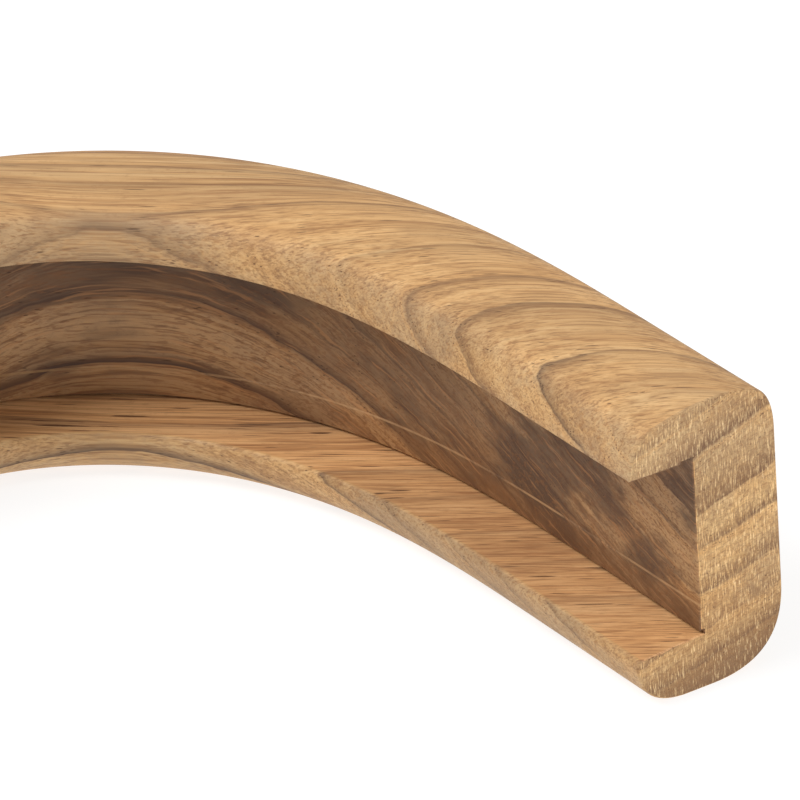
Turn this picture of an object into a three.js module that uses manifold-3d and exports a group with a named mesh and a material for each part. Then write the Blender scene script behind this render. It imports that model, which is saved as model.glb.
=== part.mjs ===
// Grab rail for a boat: a U-shaped solid-teak channel that caps the edge of a panel.
//
// Two curved returns are doweled and glued to a straight grip rail. All three share one
// C-shaped section whose slot opens to the inside of the U, where the panel goes. Screws run
// through the back of the grip rail into the panel, each under a glued teak plug.
//
// Millimetres, +Z up. X runs along the grip rail and the mouth of the U faces -Y.
// z = 0 is the underside of the rail.

import * as THREE from 'three';
import { mergeVertices } from 'three/addons/utils/BufferGeometryUtils.js';
import Module from 'manifold-3d';

// ---- driving dimensions ---------------------------------------------------------------

// Section of the channel. "Out" is measured from the slot's back wall to the outside.
const SLOT_HEIGHT = 19.0;
const SLOT_DEPTH = 7.4;
const SLOT_FLARE_BOTTOM = 0.4; // drop of the slot's floor at the lip
const SLOT_FLARE_TOP = 0.2; // rise of the slot's ceiling at the lip
const WEB_THICKNESS = 9.7;
const BOTTOM_FLANGE = 5.9;
const TOP_FLANGE = 6.05;

// Rounds of the section. A drop is measured down from the rail's top, and a rise up to the
// control point that the crown bends towards.
const TOP_NOSE = { controlReach: 0.4, controlDrop: 1.35, endReach: 3.6, endDrop: 0.85 };
const CROWN = { controlOut: 2.6, controlRise: 0.8, endInset: 2.5, endDrop: 0.65 };
const TOP_CORNER = { controlInset: 0.1, controlDrop: 1.35, endDrop: 5.45 };
const BOTTOM_CORNER = { startHeight: 8.2, endOut: 1.2 };
const BOTTOM_NOSE = { startOut: -2.2, bulge: 0.25, fullHeight: 4.7, controlReach: 0.35, controlHeight: 0.2 };

// Plan of the rail.
const GRIP_LENGTH = 160.0;
const RETURN_TAIL = 15.0; // straight stretch between the glue joint and the bend
const TIGHTEST_RADIUS = 27.9; // of the slot's back wall, where the bend starts
const RETURN_LEG = 19.0; // straight stretch at the free end
const GLUE_GAP = 0.3;

// Dowels, screws and plugs.
const DOWEL_RADIUS = 2.5;
const DOWEL_LENGTH = 24.0;
const DOWEL_HEIGHTS = [9.0, 22.0];
const DOWEL_CHAMFER = 0.6;
const FIT_GAP = 0.3;
const SCREW_SPACING = 50.0;
const SCREW_RADIUS = 1.75;
const SCREW_LENGTH = 20.0;
const SCREW_HEAD_RADIUS = 3.5;
const SCREW_HEAD_HEIGHT = 1.9;
const SCREW_HEAD_RIM = 0.25;
const THREAD_PITCH = 1.6;
const THREAD_DEPTH = 0.45;
const THREAD_TURNS = 8;
const CREST_PLACE = 0.4; // of a pitch
const ROOT_PLACE = 0.8; // of a pitch
const TIP_LENGTH = 2.6;
const RECESS_WIDTH = 0.9;
const RECESS_SPAN = 3.4;
const RECESS_DEPTH = 1.2;
const PLUG_RADIUS = 4.75;
const PLUG_THICKNESS = 3.7;
const PLUG_CHAMFER = 0.4;

// Fineness of the faceted solids.
const BEND_STEPS = 44;
const CURVE_STEPS = 5;
const ROUND_SEGMENTS = 24;
const SCREW_SEGMENTS = 16;
const PATH_INTEGRATION_STEPS = 96;
const WELD_DISTANCE = 1e-3;
const CUT_PAST = 1; // how far a cutter runs past the face it opens

// ---- values that follow from them -----------------------------------------------------

const TOTAL_HEIGHT = BOTTOM_FLANGE + SLOT_HEIGHT + TOP_FLANGE;
const SLOT_CEILING = BOTTOM_FLANGE + SLOT_HEIGHT;
const SLOT_MIDDLE = BOTTOM_FLANGE + SLOT_HEIGHT / 2;
const WEB_MIDDLE = WEB_THICKNESS / 2;
const RIGHT_ANGLE = Math.PI / 2;
// The bend eases from its tightest radius to straight over a right angle.
const BEND_LENGTH = 2 * RIGHT_ANGLE * TIGHTEST_RADIUS;
const RETURN_LENGTH = RETURN_TAIL + BEND_LENGTH + RETURN_LEG;
const JOINT_X = GRIP_LENGTH / 2;

// ---- materials ------------------------------------------------------------------------

const teak = new THREE.MeshStandardMaterial({ color: 0xb98a57, roughness: 0.7, metalness: 0 });
const plugTeak = new THREE.MeshStandardMaterial({ color: 0xa87a49, roughness: 0.7, metalness: 0 });
const beech = new THREE.MeshStandardMaterial({ color: 0xd9bd92, roughness: 0.75, metalness: 0 });
const stainless = new THREE.MeshStandardMaterial({ color: 0xc4c6c8, roughness: 0.3, metalness: 1 });

// ---- solids ---------------------------------------------------------------------------

const wasm = await Module();
wasm.setup();

function toSolid(geometry) {
  const bare = geometry.clone();
  bare.deleteAttribute('normal');
  bare.deleteAttribute('uv');
  const welded = mergeVertices(bare, WELD_DISTANCE);
  const vertProperties = new Float32Array(welded.attributes.position.array);
  const triVerts = new Uint32Array(welded.index.array);
  return new wasm.Manifold(new wasm.Mesh({ numProp: 3, vertProperties, triVerts }));
}

function toGeometry(solid) {
  const mesh = solid.getMesh();
  const geometry = new THREE.BufferGeometry();
  geometry.setAttribute('position', new THREE.BufferAttribute(mesh.vertProperties, 3));
  geometry.setIndex(new THREE.BufferAttribute(mesh.triVerts, 1));
  geometry.computeVertexNormals();
  return geometry;
}

function cut(geometry, tools) {
  let solid = toSolid(geometry);
  for (const tool of tools) {
    solid = solid.subtract(toSolid(tool));
  }
  return toGeometry(solid);
}

// ---- the channel ----------------------------------------------------------------------

// The section is drawn as (-height, out), which is how a shape lies along a level path.
function channelSection() {
  const section = new THREE.Shape();
  const at = (out, height) => [-height, out];
  const lip = -SLOT_DEPTH;
  const bulge = lip - BOTTOM_NOSE.bulge;
  const top = TOTAL_HEIGHT;
  const back = WEB_THICKNESS;

  section.moveTo(...at(0, BOTTOM_FLANGE));
  section.lineTo(...at(0, SLOT_CEILING));
  section.lineTo(...at(lip, SLOT_CEILING + SLOT_FLARE_TOP));
  // Top flange: rounded nose, crowned top and rounded outer corner.
  section.quadraticCurveTo(
    ...at(lip + TOP_NOSE.controlReach, top - TOP_NOSE.controlDrop),
    ...at(lip + TOP_NOSE.endReach, top - TOP_NOSE.endDrop),
  );
  section.quadraticCurveTo(
    ...at(CROWN.controlOut, top + CROWN.controlRise),
    ...at(back - CROWN.endInset, top - CROWN.endDrop),
  );
  section.quadraticCurveTo(
    ...at(back - TOP_CORNER.controlInset, top - TOP_CORNER.controlDrop),
    ...at(back, top - TOP_CORNER.endDrop),
  );
  // Outer face, then the larger round down to the flat underside.
  section.lineTo(...at(back, BOTTOM_CORNER.startHeight));
  section.quadraticCurveTo(...at(back, 0), ...at(BOTTOM_CORNER.endOut, 0));
  section.lineTo(...at(BOTTOM_NOSE.startOut, 0));
  // Bottom flange: rounded nose.
  section.quadraticCurveTo(
    ...at(bulge + BOTTOM_NOSE.controlReach, BOTTOM_NOSE.controlHeight),
    ...at(bulge, BOTTOM_NOSE.fullHeight),
  );
  section.lineTo(...at(lip, BOTTOM_FLANGE - SLOT_FLARE_BOTTOM));
  section.closePath();
  return section;
}

// Slot back wall of the right-hand return: tail, easing bend and leg. Its curvature falls
// evenly from 1 / TIGHTEST_RADIUS to zero along the bend.
class ReturnPath extends THREE.Curve {
  heading(distance) {
    const along = THREE.MathUtils.clamp(distance - RETURN_TAIL, 0, BEND_LENGTH);
    return (along - (along * along) / (2 * BEND_LENGTH)) / TIGHTEST_RADIUS;
  }

  getPoint(t, target = new THREE.Vector3()) {
    const distance = t * RETURN_LENGTH;
    const step = distance / PATH_INTEGRATION_STEPS;
    target.set(JOINT_X, 0, 0);
    for (let i = 0; i < PATH_INTEGRATION_STEPS; i++) {
      const heading = this.heading((i + 0.5) * step);
      target.x += Math.cos(heading) * step;
      target.y -= Math.sin(heading) * step;
    }
    return target;
  }
}

// The same line on the left, walked from its free end so that "out" stays on the left.
class MirroredReturnPath extends ReturnPath {
  getPoint(t, target = new THREE.Vector3()) {
    super.getPoint(1 - t, target);
    target.x = -target.x;
    return target;
  }
}

function sweepChannel(path, steps) {
  return new THREE.ExtrudeGeometry(channelSection(), {
    extrudePath: path,
    steps,
    curveSegments: CURVE_STEPS,
  });
}

// ---- holes and round pieces -----------------------------------------------------------

// A turned solid along X, from its profile of [radius, x] pairs.
function turnedAlongX(profile) {
  const points = profile.map(([radius, x]) => new THREE.Vector2(radius, x));
  return new THREE.LatheGeometry(points, ROUND_SEGMENTS).rotateZ(-RIGHT_ANGLE);
}

// A turned solid along Y, from its profile of [radius, y] pairs.
function turnedAlongY(profile, segments = ROUND_SEGMENTS) {
  const points = profile.map(([radius, y]) => new THREE.Vector2(radius, y));
  return new THREE.LatheGeometry(points, segments);
}

function dowelGeometry() {
  const end = DOWEL_LENGTH / 2;
  return turnedAlongX([
    [0, -end],
    [DOWEL_RADIUS - DOWEL_CHAMFER, -end],
    [DOWEL_RADIUS, -end + DOWEL_CHAMFER],
    [DOWEL_RADIUS, end - DOWEL_CHAMFER],
    [DOWEL_RADIUS - DOWEL_CHAMFER, end],
    [0, end],
  ]);
}

function dowelHole(side, height) {
  const end = DOWEL_LENGTH / 2 + 2 * FIT_GAP;
  const radius = DOWEL_RADIUS + FIT_GAP;
  const hole = turnedAlongX([
    [0, -end],
    [radius, -end],
    [radius, end],
    [0, end],
  ]);
  return hole.translate(side * JOINT_X, WEB_MIDDLE, height);
}

// Flat head at the top, ring-shaped thread crests, then a point. y = 0 is the head's top.
function screwGeometry() {
  const root = SCREW_RADIUS - THREAD_DEPTH;
  const threadStart = -SCREW_LENGTH + TIP_LENGTH;
  const profile = [
    [0, -SCREW_LENGTH],
    [root, threadStart],
  ];
  for (let turn = 0; turn < THREAD_TURNS; turn++) {
    const y = threadStart + turn * THREAD_PITCH;
    profile.push([SCREW_RADIUS, y + THREAD_PITCH * CREST_PLACE]);
    profile.push([root, y + THREAD_PITCH * ROOT_PLACE]);
  }
  profile.push([SCREW_RADIUS, threadStart + THREAD_TURNS * THREAD_PITCH]);
  profile.push([SCREW_RADIUS, -SCREW_HEAD_HEIGHT]);
  profile.push([SCREW_HEAD_RADIUS, -SCREW_HEAD_RIM]);
  profile.push([SCREW_HEAD_RADIUS, 0]);
  profile.push([0, 0]);
  const bars = [
    new THREE.BoxGeometry(RECESS_SPAN, 2 * RECESS_DEPTH, RECESS_WIDTH),
    new THREE.BoxGeometry(RECESS_WIDTH, 2 * RECESS_DEPTH, RECESS_SPAN),
  ];
  return cut(turnedAlongY(profile, SCREW_SEGMENTS), bars);
}

// Counterbore for the plug, seat for the head and clearance hole, all in one cutter.
function screwHole(x) {
  const mouth = WEB_THICKNESS + CUT_PAST;
  const shelf = WEB_THICKNESS - PLUG_THICKNESS - FIT_GAP;
  const clearance = SCREW_RADIUS + FIT_GAP;
  const cutter = turnedAlongY([
    [0, -CUT_PAST],
    [clearance, -CUT_PAST],
    [clearance, shelf - SCREW_HEAD_HEIGHT - FIT_GAP],
    [SCREW_HEAD_RADIUS + FIT_GAP, shelf - FIT_GAP],
    [PLUG_RADIUS + FIT_GAP, shelf - FIT_GAP],
    [PLUG_RADIUS + FIT_GAP, mouth],
    [0, mouth],
  ]);
  return cutter.translate(x, 0, SLOT_MIDDLE);
}

function plugGeometry() {
  return turnedAlongY([
    [0, -PLUG_THICKNESS],
    [PLUG_RADIUS - PLUG_CHAMFER, -PLUG_THICKNESS],
    [PLUG_RADIUS, -PLUG_THICKNESS + PLUG_CHAMFER],
    [PLUG_RADIUS, 0],
    [0, 0],
  ]);
}

// ---- the assembly ---------------------------------------------------------------------

const rail = new THREE.Group();

function place(name, geometry, material, x = 0, y = 0, z = 0) {
  const mesh = new THREE.Mesh(geometry, material);
  mesh.name = name;
  mesh.position.set(x, y, z);
  rail.add(mesh);
}

const screwPlaces = [
  ['left', -SCREW_SPACING],
  ['middle', 0],
  ['right', SCREW_SPACING],
];
const sides = [
  ['left', -1],
  ['right', 1],
];

function gripRail() {
  const half = GRIP_LENGTH / 2 - GLUE_GAP / 2;
  const path = new THREE.LineCurve3(new THREE.Vector3(-half, 0, 0), new THREE.Vector3(half, 0, 0));
  const tools = screwPlaces.map(([, x]) => screwHole(x));
  for (const [, side] of sides) {
    tools.push(...DOWEL_HEIGHTS.map((height) => dowelHole(side, height)));
  }
  return cut(sweepChannel(path, 1), tools);
}

function curvedReturn(side) {
  const path = side > 0 ? new ReturnPath() : new MirroredReturnPath();
  const channel = sweepChannel(path, BEND_STEPS).translate((side * GLUE_GAP) / 2, 0, 0);
  return cut(channel, DOWEL_HEIGHTS.map((height) => dowelHole(side, height)));
}

place('grip_rail', gripRail(), teak);
for (const [label, side] of sides) {
  place(`return_${label}`, curvedReturn(side), teak);
  DOWEL_HEIGHTS.forEach((height, i) => {
    const level = i === 0 ? 'lower' : 'upper';
    place(`dowel_${label}_${level}`, dowelGeometry(), beech, side * JOINT_X, WEB_MIDDLE, height);
  });
}
for (const [label, x] of screwPlaces) {
  const headTop = WEB_THICKNESS - PLUG_THICKNESS - 2 * FIT_GAP;
  place(`screw_${label}`, screwGeometry(), stainless, x, headTop, SLOT_MIDDLE);
  place(`plug_${label}`, plugGeometry(), plugTeak, x, WEB_THICKNESS, SLOT_MIDDLE);
}

// The origin goes to the middle of the rail's footprint.
const footprint = new THREE.Box3().setFromObject(rail);
const middle = footprint.getCenter(new THREE.Vector3());
rail.position.set(-middle.x, -middle.y, 0);

export default rail;
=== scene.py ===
"""Grab rail: the visual pieces, their materials, a plain stage and the camera.

Sizes are in millimetres, and are multiplied by MM where a mesh, a light or a node takes
metres. The three teak lengths share one section, which is swept along the same plan line as
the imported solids.
"""
import math
import random

import bmesh
import bpy
from mathutils import Matrix, Vector, noise


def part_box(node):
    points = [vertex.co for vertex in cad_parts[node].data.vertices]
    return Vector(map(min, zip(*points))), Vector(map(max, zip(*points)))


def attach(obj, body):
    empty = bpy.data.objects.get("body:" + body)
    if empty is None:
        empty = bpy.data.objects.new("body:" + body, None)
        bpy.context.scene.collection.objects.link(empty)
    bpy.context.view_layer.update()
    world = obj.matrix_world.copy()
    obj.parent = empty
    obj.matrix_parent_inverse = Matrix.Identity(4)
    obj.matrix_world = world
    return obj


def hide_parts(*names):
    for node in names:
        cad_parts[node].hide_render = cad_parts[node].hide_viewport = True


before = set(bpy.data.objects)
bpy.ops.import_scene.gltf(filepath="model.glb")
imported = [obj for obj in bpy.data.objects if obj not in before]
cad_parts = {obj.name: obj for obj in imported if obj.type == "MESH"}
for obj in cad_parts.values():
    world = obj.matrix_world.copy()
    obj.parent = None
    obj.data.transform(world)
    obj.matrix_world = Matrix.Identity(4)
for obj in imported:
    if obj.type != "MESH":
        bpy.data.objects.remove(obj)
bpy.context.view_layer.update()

MM = 0.001

# ---- sizes of the section and the plan (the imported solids' own) ------------------------
SLOT_HEIGHT = 19.0
SLOT_DEPTH = 7.4
SLOT_FLARE_BOTTOM = 0.4
SLOT_FLARE_TOP = 0.2
WEB_THICKNESS = 9.7
BOTTOM_FLANGE = 5.9
TOP_FLANGE = 6.05
TOTAL_HEIGHT = BOTTOM_FLANGE + SLOT_HEIGHT + TOP_FLANGE
SLOT_CEILING = BOTTOM_FLANGE + SLOT_HEIGHT

RETURN_TAIL = 15.0
TIGHTEST_RADIUS = 27.9
BEND_LENGTH = math.pi * TIGHTEST_RADIUS
RETURN_LEG = 19.0

DOWEL_RADIUS = 2.5
DOWEL_LENGTH = 24.0
DOWEL_CHAMFER = 0.6
DOWEL_FLUTES = 12
SCREW_RADIUS = 1.75
SCREW_ROOT = 1.3
SCREW_SHANK = SCREW_ROOT + 0.15
SCREW_LENGTH = 20.0
SCREW_HEAD_RADIUS = 3.5
SCREW_HEAD_HEIGHT = 1.9
THREAD_PITCH = 1.6
THREAD_LENGTH = 13.0
THREAD_FLANK = 0.28  # share of the pitch that each flank of the thread takes
SCREW_TIP = 2.6
PLUG_RADIUS = 4.75
PLUG_THICKNESS = 3.7

# Places that follow from the frame.
grip_high = Vector(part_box("grip_rail")[1]) / MM
WEB_LINE_Y = grip_high.y - WEB_THICKNESS
JOINT_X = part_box("dowel_right_lower")[0][0] / MM + DOWEL_LENGTH / 2
GLUE_GAP = 0.10  # between two teak lengths, as it shows
CAD_GAP = 0.15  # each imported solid's half of the gap at a joint

# ---- the section -----------------------------------------------------------------------
CURVE_STEPS = 14
KERF = 0.35  # the cutter's small step in the slot's corners
HEAD_UNDERCUT = 1.3  # how far that step runs along the slot's ceiling
LEDGE = 0.09  # step in the slot's back wall where two passes of the cutter meet
LEDGE_HEIGHT = 3.2
EDGE = 0.14  # worn arris at the free ends
JOINT_EDGE = EDGE / 4  # and at the glued joints
LIP_ROUND = 0.4  # rounding of the slot's lower lip, and half as much of its upper one
NOSE_STANDOUT = 0.25  # how far the bottom flange's nose stands past the slot's lip
BURR = 0.12  # raggedness of the sawn slot at a free end


def quadratic(start, control, end, steps=CURVE_STEPS):
    """Points of a quadratic curve, without its first point."""
    points = []
    for i in range(1, steps + 1):
        t = i / steps
        points.append(tuple(
            (1 - t) ** 2 * a + 2 * t * (1 - t) * b + t * t * c
            for a, b, c in zip(start, control, end)))
    return points


def straight(start, end, steps):
    """Evenly spaced points after start, up to end."""
    return [
        tuple(a + (b - a) * i / steps for a, b in zip(start, end))
        for i in range(1, steps + 1)]


def section_points():
    """The outline as (out, height, zone), walked from the slot's floor up and round.

    out is measured outwards from the slot's back wall, and height from the underside.
    """
    lip = -SLOT_DEPTH
    nose = lip - NOSE_STANDOUT
    top = TOTAL_HEIGHT
    back = WEB_THICKNESS
    floor_lip = BOTTOM_FLANGE - SLOT_FLARE_BOTTOM
    ceiling_lip = SLOT_CEILING + SLOT_FLARE_TOP
    outline = [(KERF, BOTTOM_FLANGE, "floor")]

    def run(points, zone):
        outline.extend((out, height, zone) for out, height in points)

    # Back wall of the slot, with the cutter's undercut at its foot and head.
    undercut = BOTTOM_FLANGE + KERF
    ledge = BOTTOM_FLANGE + LEDGE_HEIGHT
    wall_foot = (0, ledge + LEDGE)
    ceiling_start = (-HEAD_UNDERCUT, SLOT_CEILING)
    run([(KERF, undercut), (-LEDGE, undercut), (-LEDGE, ledge), wall_foot], "wall")
    run(straight(wall_foot, (0, SLOT_CEILING), steps=10), "wall")
    run([(0, SLOT_CEILING + KERF), (-HEAD_UNDERCUT, SLOT_CEILING + KERF)], "wall")
    run([ceiling_start], "wall")
    upper_round = LIP_ROUND / 2
    ceiling_end = (lip + upper_round, ceiling_lip)
    run(straight(ceiling_start, ceiling_end, steps=5), "wall")

    # Top flange: nose, crown and outer corner. A pull is the control point of a curve.
    nose_start = (lip, ceiling_lip + upper_round)
    nose_pull = (lip + 0.4, top - 1.35)
    crown_start = (lip + 3.6, top - 0.85)
    crown_pull = (2.6, top + 0.77)
    crown_end = (back - 2.5, top - 0.65)
    shoulder_pull = (back - 0.1, top - 1.35)
    face_top = (back, top - 5.45)
    run(quadratic(ceiling_end, (lip, ceiling_lip), nose_start, steps=3), "face")
    run(quadratic(nose_start, nose_pull, crown_start), "face")
    run(quadratic(crown_start, crown_pull, crown_end), "face")
    run(quadratic(crown_end, shoulder_pull, face_top), "face")

    # Outer face, lower corner, underside and nose of the bottom flange.
    face_foot = (back, 8.2)
    underside_outer = (1.2, 0)
    underside_inner = (-2.2, 0)
    foot_pull = (nose + 0.35, 0.2)
    nose_foot = (nose, 4.7)
    floor_start = (lip + LIP_ROUND, floor_lip)
    run(straight(face_top, face_foot, steps=8), "face")
    run(quadratic(face_foot, (back, 0), underside_outer, steps=20), "face")
    run(straight(underside_outer, underside_inner, steps=3), "face")
    run(quadratic(underside_inner, foot_pull, nose_foot), "face")
    run(quadratic(nose_foot, (lip, floor_lip), floor_start, steps=6), "face")
    run(straight(floor_start, (KERF, BOTTOM_FLANGE), steps=6)[:-1], "floor")
    return outline


def inset_outline(outline, amount):
    """The outline moved inwards along its own normals."""
    count = len(outline)
    moved = []
    for i, (out, height, zone) in enumerate(outline):
        before, after = outline[i - 1], outline[(i + 1) % count]
        edge_a = Vector((out - before[0], height - before[1])).normalized()
        edge_b = Vector((after[0] - out, after[1] - height)).normalized()
        normal = Vector((-edge_a.y, edge_a.x)) + Vector((-edge_b.y, edge_b.x))
        reach = amount / max(normal.length / 2, 0.5)
        normal.normalize()
        moved.append((out - normal.x * reach, height - normal.y * reach, zone))
    return moved


# ---- the plan --------------------------------------------------------------------------
STATION_STEP = 0.75  # along a return, at most
GRIP_STATIONS = 60


def bend_heading(distance):
    """Heading in radians, clockwise from +X, at a distance along a return."""
    along = min(max(distance - RETURN_TAIL, 0), BEND_LENGTH)
    return (along - along * along / (2 * BEND_LENGTH)) / TIGHTEST_RADIUS


def return_line():
    """Stations (x, y, heading) of the right-hand return's back wall line."""
    start = GLUE_GAP / 2 - CAD_GAP
    length = RETURN_TAIL + BEND_LENGTH + RETURN_LEG
    count = math.ceil((length - start) / STATION_STEP)
    x, y = JOINT_X + CAD_GAP + start, WEB_LINE_Y
    step = (length - start) / count
    stations = [(x, y, 0.0)]
    for i in range(count):
        middle = bend_heading(start + (i + 0.5) * step)
        x += math.cos(middle) * step
        y -= math.sin(middle) * step
        stations.append((x, y, bend_heading(start + (i + 1) * step)))
    return stations


def grip_line():
    """Stations of the grip rail's back wall line, from left to right."""
    half = JOINT_X - GLUE_GAP / 2
    count = GRIP_STATIONS
    return [(-half + 2 * half * i / count, WEB_LINE_Y, 0.0) for i in range(count + 1)]


# ---- meshes ----------------------------------------------------------------------------
ZONES = ("face", "wall", "floor", "end")
SMOOTH_ANGLE = math.radians(32)
LIP_WEAR = 0.035  # how far the slot's lips wander, along the rail
LIP_WAVE = 0.35  # the wander's waves per mm, and
LIP_RIPPLE = 1.1  # the ripples' on them


def new_piece(name, bm, materials):
    """A linked object from a bmesh, smooth between its sharp edges."""
    bmesh.ops.recalc_face_normals(bm, faces=bm.faces)
    mesh = bpy.data.meshes.new(name)
    bm.to_mesh(mesh)
    bm.free()
    for material in materials:
        mesh.materials.append(material)
    piece = bpy.data.objects.new(name, mesh)
    bpy.context.scene.collection.objects.link(piece)
    shade(piece)
    return piece


def shade(piece):
    piece.data.polygons.foreach_set("use_smooth", [True] * len(piece.data.polygons))
    piece.data.set_sharp_from_angle(angle=SMOOTH_ANGLE)


def worn(points, distance, seed):
    """The section with its slot lips wandering a little inwards, as sawn and sanded edges do."""
    moved = []
    for i, (out, height, zone) in enumerate(points):
        if out < -SLOT_DEPTH + LIP_ROUND:
            wave = noise.noise(Vector((distance * LIP_WAVE, i * 0.4, seed)))
            ripple = noise.noise(Vector((distance * LIP_RIPPLE, i * 0.6, seed + 9)))
            wear = wave + 0.5 * ripple
            out += LIP_WEAR * abs(wear)
            height += LIP_WEAR * wear * 0.6
        moved.append((out, height, zone))
    return moved


def sweep_channel(stations, ends_free, seed):
    """A closed mesh of the section along the stations.

    ends_free says that the last station is a free end, where the sawn slot is ragged.
    """
    rng = random.Random(seed)
    outline = section_points()
    bm = bmesh.new()

    def ring(points, station, shift=0.0, burr=0.0):
        """Vertices of one section. The slot's are ragged, by up to burr back into the wood."""
        x, y, heading = station
        along = Vector((math.cos(heading), -math.sin(heading), 0))
        left = Vector((math.sin(heading), math.cos(heading), 0))
        verts = []
        for out, height, zone in points:
            push = shift
            if burr and zone != "face":
                push -= rng.uniform(0, burr)
                out += rng.uniform(-burr, burr) / 2
                height += rng.uniform(-burr, burr) / 2
            place = Vector((x, y, 0)) + left * out + along * push
            verts.append(bm.verts.new((place.x * MM, place.y * MM, height * MM)))
        return verts

    rings = []
    distance = 0
    for i, station in enumerate(stations):
        if i:
            distance += math.dist(station[:2], stations[i - 1][:2])
        points = worn(outline, distance, seed)
        if i == 0:
            cap = ring(inset_outline(points, JOINT_EDGE), station)
            rings += [cap, ring(points, station, JOINT_EDGE)]
        elif i == len(stations) - 1:
            edge, burr = (EDGE, BURR) if ends_free else (JOINT_EDGE, 0.0)
            cap = ring(inset_outline(points, edge), station, 0.0, burr)
            rings += [ring(points, station, -edge), cap]
        else:
            rings.append(ring(points, station))

    count = len(outline)
    for here, there in zip(rings, rings[1:]):
        for i in range(count):
            j = (i + 1) % count
            face = bm.faces.new((here[i], here[j], there[j], there[i]))
            face.material_index = ZONES.index(outline[j][2])
    for cap in (rings[0], rings[-1]):
        bm.faces.new(cap).material_index = ZONES.index("end")
    return bm


def lathe(centre, axis, profile, segments=48):
    """A bmesh turned about an axis through centre, from (distance, radius function) pairs.

    A radius is a number or a function of the angle in turns. Zero makes a pole.
    """
    along = Vector(axis)
    side = Vector((0, 0, 1))
    up = along.cross(side)
    bm = bmesh.new()
    rings = []
    for distance, radius in profile:
        if radius == 0:
            rings.append([bm.verts.new((centre + along * distance) * MM)])
            continue
        ring = []
        for i in range(segments):
            angle = 2 * math.pi * i / segments
            reach = radius(i / segments) if callable(radius) else radius
            offset = side * (reach * math.cos(angle)) + up * (reach * math.sin(angle))
            ring.append(bm.verts.new((centre + along * distance + offset) * MM))
        rings.append(ring)
    for a, b in zip(rings, rings[1:]):
        for i in range(segments):
            corners = [a[i % len(a)], a[(i + 1) % len(a)], b[(i + 1) % len(b)], b[i % len(b)]]
            bm.faces.new(list(dict.fromkeys(corners)))
    return bm


def block(centre, size):
    bm = bmesh.new()
    scale = Matrix.Diagonal((*(Vector(size) * MM), 1))
    bmesh.ops.create_cube(bm, size=1, matrix=Matrix.Translation(centre * MM) @ scale)
    return bm


def cut_with(piece, cutters):
    """Cuts each cutter's bmesh out of the piece and shades the result."""
    for cutter_mesh in cutters:
        cutter = new_piece("cutter", cutter_mesh, [])
        modifier = piece.modifiers.new("cut", "BOOLEAN")
        modifier.operation = "DIFFERENCE"
        modifier.solver = "EXACT"
        modifier.object = cutter
        graph = bpy.context.evaluated_depsgraph_get()
        result = bpy.data.meshes.new_from_object(piece.evaluated_get(graph))
        piece.modifiers.clear()
        piece.data = result
        bpy.data.objects.remove(cutter)
    shade(piece)


def add_to_rail(piece, node):
    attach(piece, "root")
    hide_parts(node)


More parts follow.
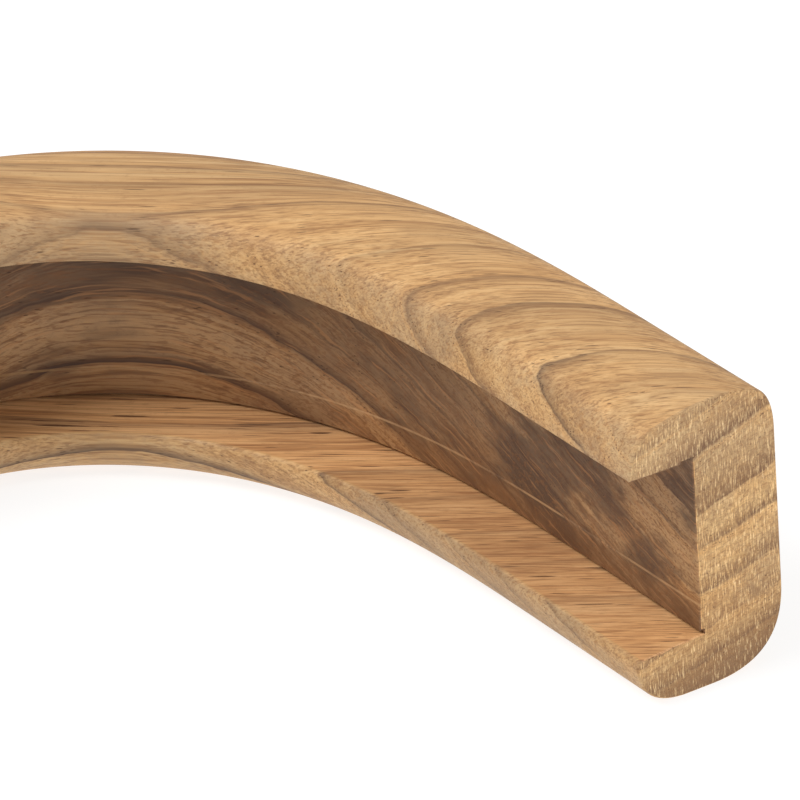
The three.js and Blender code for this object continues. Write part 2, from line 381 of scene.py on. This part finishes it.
# ---- materials -------------------------------------------------------------------------
class Graph:
    """A material's node tree, built with short calls that return sockets."""

    def __init__(self, name):
        self.material = bpy.data.materials.new(name)
        self.material.use_nodes = True
        self.tree = self.material.node_tree
        self.shader = self.tree.nodes["Principled BSDF"]

    def feed(self, socket, value):
        if isinstance(value, bpy.types.NodeSocket):
            self.tree.links.new(value, socket)
        else:
            socket.default_value = value

    def node(self, kind, inputs, **settings):
        made = self.tree.nodes.new(kind)
        for key, value in settings.items():
            setattr(made, key, value)
        for key, value in inputs.items():
            self.feed(made.inputs[key], value)
        return made

    def own_place(self):
        """The point's place in metres, in the piece's own axes."""
        return self.node("ShaderNodeTexCoord", {}).outputs["Object"]

    def math(self, operation, *values):
        inputs = dict(enumerate(values))
        return self.node("ShaderNodeMath", inputs, operation=operation).outputs[0]

    def add(self, a, b):
        return self.math("ADD", a, b)

    def minus(self, a, b):
        return self.math("SUBTRACT", a, b)

    def times(self, a, b):
        return self.math("MULTIPLY", a, b)

    def vector_math(self, operation, *values):
        inputs = dict(enumerate(values))
        return self.node("ShaderNodeVectorMath", inputs, operation=operation).outputs[0]

    def stretch(self, vector, factors):
        return self.vector_math("MULTIPLY", vector, factors)

    def split(self, vector):
        return self.node("ShaderNodeSeparateXYZ", {0: vector}).outputs

    def red(self, colour):
        return self.node("ShaderNodeSeparateColor", {0: colour}).outputs[0]

    def noise(self, vector, detail=3.0, roughness=0.5, output=0):
        inputs = {"Vector": vector, "Scale": 1.0, "Detail": detail, "Roughness": roughness}
        return self.node("ShaderNodeTexNoise", inputs).outputs[output]

    def remap(self, value, low, high, to_low=0.0, to_high=1.0):
        """A smooth step from to_low, where the value is low, to to_high, where it is high."""
        inputs = {0: value, 1: low, 2: high, 3: to_low, 4: to_high}
        made = self.node("ShaderNodeMapRange", inputs, interpolation_type="SMOOTHSTEP")
        return made.outputs[0]

    def ramp(self, value, stops):
        made = self.node("ShaderNodeValToRGB", {0: value})
        elements = made.color_ramp.elements
        elements.remove(elements[1])
        elements[0].position, first = stops[0]
        elements[0].color = (*first, 1)
        for place, colour in stops[1:]:
            elements.new(place).color = (*colour, 1)
        return made.outputs[0]

    def blend(self, factor, a, b):
        """A plain number between a and b."""
        return self.node("ShaderNodeMix", {0: factor, 2: a, 3: b}).outputs[0]

    def mix(self, factor, a, b, blend="MIX"):
        """A colour between a and b."""
        made = self.tree.nodes.new("ShaderNodeMix")
        made.data_type = "RGBA"
        made.blend_type = blend
        self.feed(made.inputs[0], factor)
        for socket, value in ((made.inputs[6], a), (made.inputs[7], b)):
            self.feed(socket, value if isinstance(value, bpy.types.NodeSocket) else (*value, 1))
        return made.outputs[2]

    def bump(self, height, strength, distance):
        inputs = {"Height": height, "Strength": strength, "Distance": distance}
        self.feed(self.shader.inputs["Normal"], self.node("ShaderNodeBump", inputs).outputs[0])

    def surface(self, colour, roughness, **sockets):
        self.feed(self.shader.inputs["Base Color"], colour)
        self.feed(self.shader.inputs["Roughness"], roughness)
        for name, value in sockets.items():
            self.feed(self.shader.inputs[name.replace("_", " ")], value)
        return self.material


# Growth rings of the board: distance from the pith in mm and darkness of the late wood.
# Past the last ring they repeat.
RING_START = 56.0
RING_SPAN = 52.0
RINGS = (
    (58.6, 0.80), (62.6, 1.00), (68.4, 0.93), (72.2, 0.96), (76.8, 0.86), (80.4, 0.70),
    (83.5, 0.93), (86.4, 0.90), (88.9, 0.93), (92.4, 0.88), (95.3, 1.00), (100.9, 1.00),
    (104.2, 0.92),
)
RING_EDGE = 0.22  # from the late wood's darkest to the next ring's early wood
LATE_LINE_POWER = 8.0  # how narrow the late wood's line is, and
LATE_SHADE_POWER = 2.5  # how wide the shading that leads up to it is
HEART_START = (80.0, 85.5)  # where the darker heartwood comes in and
HEART_END = (95.2, 96.0)  # where it stops, in mm from the pith
UNSTAINED_START = (95.4, 96.2)  # between these two, mineral stains are faint
UNSTAINED_END = (99.8, 100.8)
UNSTAINED_DROP = 0.09
WAVE_REACH = 1.8  # how far slow waves bend the rings
RIPPLE_REACH = 0.9  # and how far ripples do

SEED_STEPS = (31.0, 17.0, 53.0)  # how far apart in the noise two seeds are, in mm

# Stretches of the noise textures, in cycles per mm: along the grain, across it and up.
WAVES = (0.014, 0.045, 0.045)
RIPPLES = (0.09, 0.5, 0.5)
PATCHES = (0.035, 0.16, 0.16)
STRAIGHT_STREAKS = (0.011, 1.7, 1.7)
STRAIGHT_FIBRES = (0.055, 5.5, 5.5)
CLOUDS = (0.05, 0.10, 0.10)
MOTTLE = (0.9, 1.6, 1.6)
HAIRS = (0.030, 3.3, 3.3)
PORE_CELLS = (0.22, 3.9, 3.9)
OPEN_CHECKS = (0.13, 2.3, 2.3)
# The same in the growth layers: along them, around the pith and out from it.
LAYERED_BANDS = (0.010, 0.05, 0.42)
LAYERED_STREAKS = (0.022, 0.14, 1.7)
LAYERED_FIBRES = (0.09, 0.9, 5.5)
STAINS = (0.028, 0.085, 0.15)
CUT_FIBRES = (0.10, 0.24, 3.4)
# On a sawn end, in cycles per metre along the piece's own axes.
SAW_STROKES = (8600.0, 2500.0, 1000.0)
TUFTS = (900.0, 900.0, 1500.0)

# Colours of teak, by where the wood was cut and what light has done to it.
PALE = (0.76, 0.50, 0.245)
GOLD = (0.64, 0.385, 0.170)
TAN = (0.45, 0.245, 0.102)
LATE_WOOD = (0.17, 0.088, 0.045)
EARLY_WOOD = (0.70, 0.40, 0.165)
PORE = (0.085, 0.040, 0.018)
GREY_GREEN = (0.45, 0.340, 0.220)
STAIN = (0.085, 0.052, 0.038)
RED_BROWN = (0.34, 0.165, 0.068)
SCORCHED = (0.36, 0.18, 0.07)
TORN = (0.76, 0.42, 0.18)
CREAM = (0.90, 0.69, 0.42)
SHADOW = (0.0, 0.0, 0.0)

# How strongly each mark shows.
LEAST_LATE_WOOD = 0.5  # strength of the late wood where it is weakest
LEAST_LATE_WOOD_WALL = 0.9  # and on the slot's wall
TONE_SHARES = (0.30, 0.40, 0.30)  # of bands, streaks and single fibres
PORE_RINGED = 0.75  # share of pores where a ring starts or ends
PORE_STRAY = 0.03  # share of pores everywhere else
PORE_DARKNESS = 0.72
EARLY_WOOD_SHARE = 0.35
WEATHERED_LEVEL = 0.08  # greying of level faces
WEATHERED_STEEP = 0.40  # and how much more of it steep faces have
PAINTED_STEEP_SHADE = 0.16  # painted shade on the sanded faces, where they steepen
HEIGHT_SHARES = (0.6, 0.3, 0.25, 0.7)  # of fibres, streaks, mottle and pores in the relief
RELIEF_STRENGTH = 0.45
RELIEF_DEPTH = 0.14


class Zone:
    """How one kind of cut surface looks."""

    def __init__(self, layering, heart, contrast, shade, line, hairs, stain, cracks, tint_and_painted_light):
        self.layering = layering  # how far the streaks follow the rings
        self.heart = heart  # darkness of the heartwood band
        self.contrast = contrast  # half the range of tone from tan to pale
        self.shade = shade  # darkening towards the late wood
        self.line = line  # darkness of the late wood's own line
        self.hairs = hairs  # redness of single fibres
        self.stain = stain  # darkness of the mineral patches
        self.cracks = cracks  # darkness of the open checks
        self.tint_and_painted_light = tint_and_painted_light


# The last entry of each is a tint. The wall's darker tint is partly the wall's own darker wood
# and partly painted shade of the slot's recess; the end's brighter tint is partly the sawn end's
# paler colour and partly painted light on the end.
ZONE_LOOKS = {
    "face": Zone(0.35, 0.12, 0.080, 0.22, 0.86, 0.46, 0.16, 0.0, (1.06, 1.025, 0.975)),
    "wall": Zone(0.75, 0.42, 0.040, 0.32, 0.95, 0.60, 0.70, 0.0, (0.60, 0.51, 0.45)),
    "floor": Zone(0.30, 0.10, 0.068, 0.20, 0.62, 0.50, 0.06, 0.94, (1.11, 0.995, 0.95)),
    "end": Zone(0.50, 0.80, 0.095, 0.50, 0.50, 0.40, 0.08, 0.0, (1.14, 1.10, 0.985)),
    "plug": Zone(0.30, 0.16, 0.080, 0.22, 0.60, 0.50, 0.10, 0.0, (0.86, 0.79, 0.74)),
}


def growth_layers(g, grain, seeded, pith):
    """The place in the growth layers in mm, and the place in the cycle of rings from 0 to 1.

    The layers are cylinders about the pith, bent a little by slow waves along the board.
    """
    half = (0.5, 0.5, 0.5)
    wave = g.noise(g.stretch(seeded, WAVES), detail=2, output="Color")
    ripple = g.noise(g.stretch(seeded, RIPPLES), detail=3, output="Color")
    bend = g.stretch(g.vector_math("SUBTRACT", wave, half), (0, WAVE_REACH, WAVE_REACH))
    shiver = g.stretch(g.vector_math("SUBTRACT", ripple, half), (0, RIPPLE_REACH, RIPPLE_REACH))
    from_pith = g.vector_math("SUBTRACT", grain, (0, *pith))
    bent = g.vector_math("ADD", g.vector_math("ADD", from_pith, bend), shiver)
    along, across, above = g.split(bent)
    squares = g.add(g.math("POWER", across, 2.0), g.math("POWER", above, 2.0))
    radius = g.math("SQRT", squares)
    around = g.times(g.math("DIVIDE", across, radius), RING_START + RING_SPAN / 2)
    layer = g.node("ShaderNodeCombineXYZ", {0: along, 1: around, 2: radius}).outputs[0]
    cycle = g.math("FRACT", g.math("DIVIDE", g.minus(radius, RING_START), RING_SPAN))
    return layer, cycle


def ring_growth(g, cycle):
    """How far each ring has darkened towards its late wood. Each one starts pale again."""
    stops = [(0.0, (0.0,) * 3)]
    for radius, darkness in RINGS:
        place = (radius - RING_START) / RING_SPAN
        stops.append((place, (darkness,) * 3))
        stops.append((place + RING_EDGE / RING_SPAN, (0.0,) * 3))
    return g.red(g.ramp(cycle, stops))


def ring_band(g, cycle, start, end):
    """One between two distances from the pith, each a (from, to) pair, and nothing elsewhere."""

    def step(span):
        low, high = ((radius - RING_START) / RING_SPAN for radius in span)
        return g.remap(cycle, low, high)

    return g.times(step(start), g.minus(1.0, step(end)))


def grain_tone(g, layer, seeded, layering):
    """The tone of broad bands, streaks and single fibres, then the streaks and the fibres."""
    bands = g.noise(g.stretch(layer, LAYERED_BANDS), detail=3, roughness=0.55)
    layered = g.noise(g.stretch(layer, LAYERED_STREAKS), detail=4, roughness=0.6)
    unlayered = g.noise(g.stretch(seeded, STRAIGHT_STREAKS), detail=5, roughness=0.62)
    streaks = g.blend(layering, unlayered, layered)
    fine_layered = g.noise(g.stretch(layer, LAYERED_FIBRES), detail=3, roughness=0.6)
    fine_unlayered = g.noise(g.stretch(seeded, STRAIGHT_FIBRES), detail=3, roughness=0.6)
    fine = g.blend(layering, fine_unlayered, fine_layered)
    of_bands, of_streaks, of_fine = TONE_SHARES
    tone = g.add(g.times(bands, of_bands), g.times(streaks, of_streaks))
    return g.add(tone, g.times(fine, of_fine)), streaks, fine


def pores(g, seeded, early, line):
    """A pore in some of the long thin cells, most of them in the early wood."""
    cell_shape = g.stretch(seeded, PORE_CELLS)
    cells = g.node("ShaderNodeTexVoronoi", {"Vector": cell_shape, "Scale": 1.0}).outputs
    ringed = g.add(g.times(early, PORE_RINGED), g.times(line, PORE_RINGED))
    here = g.math("LESS_THAN", g.red(cells["Color"]), g.add(ringed, PORE_STRAY))
    return g.times(here, g.remap(cells["Distance"], 0.16, 0.36, 1.0, 0.0))


def slot_wall_marks(g, colour, own, layer, patches):
    """Marks of the two passes of the cutter on the slot's back wall."""
    # Where the passes meet, a pale line stands for raised fibres and is partly a painted
    # highlight on the step; the wood below is scorched.
    level = g.split(own)[2]
    ledge = (BOTTOM_FLANGE + LEDGE_HEIGHT) * MM
    off_ledge = g.math("ABSOLUTE", g.minus(level, ledge + LEDGE * MM / 2))
    near_ledge = g.remap(off_ledge, 0.05 * MM, 0.16 * MM, 1.0, 0.0)
    raised_and_highlit = g.times(near_ledge, g.remap(patches, 0.40, 0.60, 0.0, 0.6))
    scorched = g.remap(level, ledge - 0.8 * MM, ledge, 0.24, 0.0)
    colour = g.mix(scorched, colour, SCORCHED)
    colour = g.mix(raised_and_highlit, colour, PALE)
    # Cut fibres catch the light in thin lines.
    cut_fibres = g.noise(g.stretch(layer, CUT_FIBRES), detail=2)
    return g.mix(g.remap(cut_fibres, 0.58, 0.68, 0.0, 0.42), colour, TORN)


def saw_marks(g, colour, height, own, shading):
    """Marks of the saw on an end: the colour and the relief with them."""
    # It leaves short upright strokes, deepest in the dark bands.
    saw = g.noise(g.stretch(own, SAW_STROKES), detail=4, roughness=0.7)
    strokes = g.remap(saw, 0.42, 0.58, 1.0, 0.0)
    depth = g.add(g.times(shading, 0.90), 0.36)
    colour = g.mix(g.times(strokes, depth), colour, LATE_WOOD)
    colour = g.mix(g.remap(saw, 0.56, 0.68, 0.0, 0.6), colour, CREAM)
    # Torn fibres stand along the slot's sawn edge.
    place = g.split(own)
    edge_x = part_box("return_right")[1][0] - WEB_THICKNESS * MM
    off_edge = g.math("ABSOLUTE", g.minus(g.math("ABSOLUTE", place[0]), edge_x))
    near_edge = g.remap(off_edge, 0.10 * MM, 0.28 * MM, 1.0, 0.0)
    tufts = g.noise(g.stretch(own, TUFTS), detail=3)
    torn = g.times(near_edge, g.remap(tufts, 0.42, 0.58))
    ceiling = ((SLOT_CEILING - 0.5) * MM, (SLOT_CEILING + 0.2) * MM)
    below = g.remap(place[2], *ceiling, 0.85, 0.0)
    above = g.math("GREATER_THAN", place[2], BOTTOM_FLANGE * MM)
    torn = g.times(torn, g.times(below, above))
    return g.mix(torn, colour, TORN), g.minus(height, g.times(strokes, 0.8))


def teak(name, zone, grain_angle, pith, seed):
    """Bare teak: rings about a pith line, fibre streaks, pores and cloudy colour.

    grain_angle turns the grain onto the material's own first axis. pith is where the heart
    of the tree runs, in mm across and above that axis.
    """
    g = Graph(name)
    look = ZONE_LOOKS[zone]
    own = g.own_place()
    turned = {"Vector": own, "Rotation": (0, 0, grain_angle), "Scale": (1 / MM,) * 3}
    grain = g.node("ShaderNodeMapping", turned, vector_type="POINT").outputs[0]
    seed_shift = tuple(seed * step for step in SEED_STEPS)
    seeded = g.vector_math("ADD", grain, seed_shift)

    layer, cycle = growth_layers(g, grain, seeded, pith)
    layer = g.vector_math("ADD", layer, seed_shift)
    growth = ring_growth(g, cycle)
    patches = g.noise(g.stretch(seeded, PATCHES), detail=3)
    least = LEAST_LATE_WOOD_WALL if zone == "wall" else LEAST_LATE_WOOD
    strength = g.remap(patches, 0.34, 0.58, least, 1.0)
    line = g.times(g.math("POWER", growth, LATE_LINE_POWER), strength)
    shading = g.times(g.math("POWER", growth, LATE_SHADE_POWER), strength)
    early = g.remap(growth, 0.015, 0.10, 1.0, 0.0)
    heart = ring_band(g, cycle, HEART_START, HEART_END)

    tone, streaks, fine = grain_tone(g, layer, seeded, look.layering)
    clouds = g.noise(g.stretch(seeded, CLOUDS), detail=3)
    mottle = g.noise(g.stretch(seeded, MOTTLE), detail=5, roughness=0.7)
    hairs = g.noise(g.stretch(seeded, HAIRS), detail=2, roughness=0.55)
    stains = g.noise(g.stretch(layer, STAINS), detail=4, roughness=0.6)
    unstained = ring_band(g, cycle, UNSTAINED_START, UNSTAINED_END)
    stains = g.minus(stains, g.times(unstained, UNSTAINED_DROP))
    pore = pores(g, seeded, early, line)

    # Weathering is in soft clouds, and heaviest where the surface is steep.
    normal = g.node("ShaderNodeNewGeometry", {}).outputs["Normal"]
    steepness = g.remap(g.math("ABSOLUTE", g.split(normal)[2]), 0.60, 0.97, 1.0, 0.0)
    exposure = g.add(g.times(steepness, WEATHERED_STEEP), WEATHERED_LEVEL)
    fuzzy = g.add(clouds, g.times(g.minus(mottle, 0.5), 0.5))
    weathered = g.times(g.remap(fuzzy, 0.38, 0.66), exposure)

    # The colours are laid on from the ground tone to the pores. A remap's numbers are where
    # a mark starts and is full, and how much of its colour it has at each.
    spread = look.contrast
    colour = g.ramp(tone, [(0.5 - spread, TAN), (0.5, GOLD), (0.5 + spread, PALE)])
    colour = g.mix(weathered, colour, GREY_GREEN)
    colour = g.mix(g.remap(mottle, 0.52, 0.72, 0.0, 0.45), colour, TAN)
    colour = g.mix(g.times(early, EARLY_WOOD_SHARE), colour, EARLY_WOOD)
    colour = g.mix(g.times(heart, look.heart), colour, LATE_WOOD)
    colour = g.mix(g.remap(stains, 0.45, 0.60, 0.0, look.stain), colour, STAIN)
    colour = g.mix(g.remap(hairs, 0.53, 0.64, 0.0, look.hairs), colour, RED_BROWN)
    colour = g.mix(g.times(shading, look.shade), colour, LATE_WOOD)
    colour = g.mix(g.times(line, look.line), colour, STAIN)
    colour = g.mix(g.remap(fine, 0.38, 0.5, 0.38, 0.0), colour, LATE_WOOD)
    colour = g.mix(g.times(pore, PORE_DARKNESS), colour, PORE)

    of_fine, of_streaks, of_mottle, of_pores = HEIGHT_SHARES
    height = g.add(g.times(fine, of_fine), g.times(streaks, of_streaks))
    height = g.add(height, g.times(mottle, of_mottle))
    height = g.minus(height, g.times(pore, of_pores))

    if zone == "wall":
        colour = slot_wall_marks(g, colour, own, layer, patches)
    if look.cracks:
        checks = g.noise(g.stretch(seeded, OPEN_CHECKS), detail=1)
        open_check = g.remap(checks, 0.68, 0.74)
        colour = g.mix(g.times(open_check, look.cracks), colour, PORE)
        height = g.minus(height, open_check)
    if zone == "end":
        colour, height = saw_marks(g, colour, height, own, shading)
    # Painted shade: the steep parts of the sanded faces are darkened towards black.
    if zone == "face":
        colour = g.mix(g.times(steepness, PAINTED_STEEP_SHADE), colour, SHADOW)
    # The tint also holds painted shade on the slot's wall and painted light on the ends.
    colour = g.mix(1.0, colour, look.tint_and_painted_light, "MULTIPLY")
    g.bump(height, RELIEF_STRENGTH, RELIEF_DEPTH * MM)
    roughness = g.remap(streaks, 0.3, 0.7, 0.68, 0.54)
    return g.surface(colour, roughness, Specular_IOR_Level=0.35)


def beech(name):
    """Pale dowel wood, banded, with short dark flecks along its length."""
    g = Graph(name)
    millimetres = g.stretch(g.own_place(), (1 / MM,) * 3)
    bands = g.noise(g.stretch(millimetres, (0.03, 1.4, 1.4)), detail=4)
    flecks = g.noise(g.stretch(millimetres, (0.9, 6.0, 6.0)), detail=2)
    colour = g.ramp(bands, [(0.35, (0.56, 0.40, 0.22)), (0.65, (0.74, 0.58, 0.37))])
    colour = g.mix(g.remap(flecks, 0.58, 0.70, 0.0, 0.5), colour, (0.36, 0.22, 0.11))
    g.bump(flecks, 0.3, 0.08 * MM)
    return g.surface(colour, g.remap(bands, 0.3, 0.7, 0.75, 0.6))


def stainless(name):
    """Bright rolled stainless steel, with fine turning marks and a faint haze."""
    g = Graph(name)
    millimetres = g.stretch(g.own_place(), (1 / MM,) * 3)
    marks = g.noise(g.stretch(millimetres, (0.8, 14.0, 0.8)), detail=2)
    haze = g.noise(g.stretch(millimetres, (0.5, 0.5, 0.5)), detail=3)
    colour = g.ramp(haze, [(0.3, (0.50, 0.51, 0.53)), (0.7, (0.66, 0.67, 0.68))])
    g.bump(marks, 0.15, 0.03 * MM)
    return g.surface(colour, g.remap(haze, 0.3, 0.7, 0.34, 0.22), Metallic=1.0)


def teak_zones(piece_name, grain_angle, pith, seed):
    return [teak(f"{piece_name}_{zone}", zone, grain_angle, pith, seed) for zone in ZONES]


# ---- the three teak lengths ------------------------------------------------------------
RETURN_GRAIN = math.radians(43)  # the board ran straight across the corner
RETURN_PITH = (32.0, 83.0)
GRIP_PITH = (62.0, -70.0)
SIDES = (("left", -1), ("right", 1))
LEVELS = ("lower", "upper")
PLACES = ("left", "middle", "right")
HOLE_CLEARANCE = 0.07
DOWEL_HOLE_SPARE = 0.5  # how much deeper than its dowel a hole is, at each end


def middle_of(node):
    low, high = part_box(node)
    return (Vector(low) + Vector(high)) / (2 * MM)


def dowel_hole(node):
    end = DOWEL_LENGTH / 2 + DOWEL_HOLE_SPARE
    radius = DOWEL_RADIUS + HOLE_CLEARANCE
    profile = [(-end, 0), (-end, radius), (end, radius), (end, 0)]
    return lathe(middle_of(node), (1, 0, 0), profile)


def screw_hole(label):
    """Counterbore for the plug, cone for the head and a clearance hole into the slot."""
    centre = middle_of(f"plug_{label}")
    centre.y = grip_high.y
    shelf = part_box(f"screw_{label}")[1][1] / MM - grip_high.y
    bore = PLUG_RADIUS + HOLE_CLEARANCE
    shank = SCREW_RADIUS + HOLE_CLEARANCE
    head = SCREW_HEAD_RADIUS + HOLE_CLEARANCE
    past = 1.0  # how far the cutter reaches out of the wood on both sides
    inner = -WEB_THICKNESS - past
    return lathe(centre, (0, 1, 0), [
        (inner, 0), (inner, shank), (shelf - SCREW_HEAD_HEIGHT, shank), (shelf, head),
        (shelf, bore), (past, bore), (past, 0)])


def make_return(label, side):
    bm = sweep_channel(return_line(), True, seed=3 + side)
    if side < 0:
        bmesh.ops.scale(bm, vec=(-1, 1, 1), verts=bm.verts)
    wood_seed = 0.0 if side > 0 else 2.0
    materials = teak_zones(f"teak_return_{label}", side * RETURN_GRAIN, RETURN_PITH, wood_seed)
    piece = new_piece(f"return_{label}_teak", bm, materials)
    cut_with(piece, [dowel_hole(f"dowel_{label}_{level}") for level in LEVELS])
    add_to_rail(piece, f"return_{label}")


def make_grip():
    bm = sweep_channel(grip_line(), False, seed=8)
    materials = teak_zones("teak_grip", 0.0, GRIP_PITH, 5.0)
    piece = new_piece("grip_rail_teak", bm, materials)
    cutters = [screw_hole(label) for label in PLACES]
    cutters += [dowel_hole(f"dowel_{label}_{level}") for label, side in SIDES for level in LEVELS]
    cut_with(piece, cutters)
    add_to_rail(piece, "grip_rail")


# ---- dowels, screws and plugs ----------------------------------------------------------
FLUTE_DEPTH = 0.14
HEAD_RIM = 0.3  # height of the straight rim of a screw's head
HEAD_BEVEL = (0.08, 0.1)  # the rim's small bevel, down and in
CROSS_RECESS = (3.4, 2.4, 0.9)  # width, depth on both sides of the head's top, and thickness
THREAD_STEPS = 150
THREAD_TIP_GAIN = 1.4  # how much sooner than the core the thread is full, from the tip up
SHANK_START = 0.3  # from the thread's end
SHANK_END = 0.8  # before the head's cone
PLUG_CLEARANCE = 0.03
PLUG_TAPER = 0.05
PLUG_CHAMFER = 0.4
PLUG_ARRIS = 0.03


def make_dowel(node, material):
    """A chamfered dowel with straight glue flutes."""

    def fluted(turn):
        wave = max(0, math.cos(2 * math.pi * turn * DOWEL_FLUTES))
        return DOWEL_RADIUS - FLUTE_DEPTH * wave ** 3

    end = DOWEL_LENGTH / 2
    tip = DOWEL_RADIUS - DOWEL_CHAMFER
    end_ring = tip * 0.9  # keeps the end flat where the chamfer's shading is smooth
    profile = [
        (-end, 0), (-end, end_ring), (-end, tip), (-end + DOWEL_CHAMFER, fluted),
        (end - DOWEL_CHAMFER, fluted), (end, tip), (end, end_ring), (end, 0)]
    bm = lathe(middle_of(node), (1, 0, 0), profile, segments=96)
    piece = new_piece(f"{node}_fluted", bm, [material])
    add_to_rail(piece, node)


def thread_radius(distance, turn):
    """Radius of a right-handed thread at a distance from the tip, for an angle in turns."""
    phase = (distance / THREAD_PITCH - turn) % 1.0
    crest = max(0.0, 1 - abs(phase - 0.5) / THREAD_FLANK)
    taper = min(1.0, distance / SCREW_TIP)
    runout = min(1.0, max(0.0, (THREAD_LENGTH - distance) / THREAD_PITCH))
    tip = min(1.0, THREAD_TIP_GAIN * taper)
    return SCREW_ROOT * taper + (SCREW_RADIUS - SCREW_ROOT) * crest * runout * tip


def make_screw(label, material):
    """A countersunk screw with a helical thread and a cross recess."""
    node = f"screw_{label}"
    centre = middle_of(node)
    centre.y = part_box(node)[1][1] / MM
    profile = [(-SCREW_LENGTH, 0)]
    for i in range(1, THREAD_STEPS + 1):
        distance = THREAD_LENGTH * i / THREAD_STEPS
        profile.append((distance - SCREW_LENGTH, lambda turn, d=distance: thread_radius(d, turn)))
    bevel_down, bevel_in = HEAD_BEVEL
    profile += [
        (THREAD_LENGTH - SCREW_LENGTH + SHANK_START, SCREW_SHANK),
        (-SCREW_HEAD_HEIGHT - SHANK_END, SCREW_SHANK),
        (-SCREW_HEAD_HEIGHT, SCREW_RADIUS), (-HEAD_RIM, SCREW_HEAD_RADIUS),
        (-bevel_down, SCREW_HEAD_RADIUS), (0, SCREW_HEAD_RADIUS - bevel_in), (0, 0)]
    bm = lathe(centre, (0, 1, 0), profile, segments=40)
    piece = new_piece(f"{node}_threaded", bm, [material])
    cut_with(piece, [block(centre, CROSS_RECESS), block(centre, CROSS_RECESS[::-1])])
    add_to_rail(piece, node)


def make_plug(label):
    """A tapered teak plug, sanded flush, its grain a little off the rail's."""
    node = f"plug_{label}"
    centre = middle_of(node)
    centre.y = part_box(node)[1][1] / MM
    rim = PLUG_RADIUS - PLUG_CLEARANCE
    inner = -PLUG_THICKNESS
    profile = [
        (inner, 0), (inner, rim - PLUG_CHAMFER), (inner + PLUG_CHAMFER, rim - PLUG_TAPER),
        (-PLUG_CHAMFER, rim), (-PLUG_ARRIS, rim), (0, rim - PLUG_ARRIS), (0, 0)]
    turn = PLACES.index(label) - 1
    grain = math.radians(4 + 3 * turn)
    pith = (40.0 + 9 * turn, 90.0)
    material = teak(f"teak_plug_{label}", "plug", grain, pith, 7.0 + turn)
    bm = lathe(centre, (0, 1, 0), profile, segments=96)
    piece = new_piece(f"{node}_sanded", bm, [material])
    add_to_rail(piece, node)


make_grip()
for label, side in SIDES:
    make_return(label, side)
dowel_wood = beech("beech_dowel")
for label, side in SIDES:
    for level in LEVELS:
        make_dowel(f"dowel_{label}_{level}", dowel_wood)
screw_steel = stainless("stainless_screw")
for label in PLACES:
    make_screw(label, screw_steel)
    make_plug(label)


# ---- stage, light and camera -----------------------------------------------------------
FLOOR_GLOW = 0.79  # brings the floor up to white, with a faint shadow
FLOOR_REACH = 1.6  # metres from its middle
SKY_LIGHT = 0.50
BACKDROP = 1.0


def make_floor():
    g = Graph("studio_floor")
    paper = g.noise(g.stretch(g.own_place(), (60.0, 60.0, 60.0)), detail=2)
    colour = g.ramp(paper, [(0.3, (0.28, 0.28, 0.28)), (0.7, (0.30, 0.30, 0.30))])
    material = g.surface(
        colour, 0.9, Emission_Color=(1, 1, 1, 1), Emission_Strength=FLOOR_GLOW)
    bm = bmesh.new()
    bmesh.ops.create_grid(bm, x_segments=8, y_segments=8, size=FLOOR_REACH)
    floor = new_piece("studio_floor", bm, [material])


def make_world():
    """Even light from all round, in front of a white backdrop."""
    world = bpy.data.worlds.new("studio")
    world.use_nodes = True
    tree = world.node_tree
    light = tree.nodes["Background"]
    backdrop = tree.nodes.new("ShaderNodeBackground")
    for background, strength in ((light, SKY_LIGHT), (backdrop, BACKDROP)):
        background.inputs["Color"].default_value = (1, 1, 1, 1)
        background.inputs["Strength"].default_value = strength
    path = tree.nodes.new("ShaderNodeLightPath")
    choice = tree.nodes.new("ShaderNodeMixShader")
    tree.links.new(path.outputs["Is Camera Ray"], choice.inputs[0])
    tree.links.new(light.outputs[0], choice.inputs[1])
    tree.links.new(backdrop.outputs[0], choice.inputs[2])
    tree.links.new(choice.outputs[0], tree.nodes["World Output"].inputs["Surface"])
    bpy.context.scene.world = world


def area_light(name, toward, distance, size, power, colour=(1, 1, 1)):
    """A square softbox that lights the origin. toward is the way to it from there."""
    data = bpy.data.lights.new(name, "AREA")
    data.size = size
    data.energy = power
    data.color = colour
    lamp = bpy.data.objects.new(name, data)
    direction = Vector(toward).normalized()
    lamp.location = direction * distance
    lamp.rotation_euler = direction.to_track_quat("Z", "Y").to_euler()
    bpy.context.scene.collection.objects.link(lamp)


def make_camera():
    """The camera looks over the free end of the right-hand return, along its slot."""
    azimuth, elevation, roll = (math.radians(angle) for angle in (-31.716, 27.724, -3.927))
    distance = 916.6 * MM
    aim = Vector((137.96, 10.93, 5.9)) * MM
    back = Vector((
        math.sin(azimuth) * math.cos(elevation),
        -math.cos(azimuth) * math.cos(elevation),
        math.sin(elevation)))
    level = Vector((math.cos(azimuth), math.sin(azimuth), 0))
    upright = back.cross(level)
    right = level * math.cos(roll) + upright * math.sin(roll)
    up = upright * math.cos(roll) - level * math.sin(roll)
    data = bpy.data.cameras.new("camera")
    data.sensor_width = 36.0
    data.lens = 405.0
    data.clip_start = 0.01
    camera = bpy.data.objects.new("camera", data)
    turned = Matrix((right, up, back)).transposed().to_4x4()
    camera.matrix_world = Matrix.Translation(aim + back * distance) @ turned
    bpy.context.scene.collection.objects.link(camera)
    bpy.context.scene.camera = camera


bpy.context.scene.view_settings.view_transform = "Standard"
make_world()
make_floor()
area_light(
    "key", toward=(-0.50, 0.20, 0.85), distance=1.6, size=0.8, power=19.0,
    colour=(1.0, 0.985, 0.96))
area_light("side", toward=(0.60, -0.80, 0.20), distance=0.75, size=0.4, power=2.0)
make_camera()
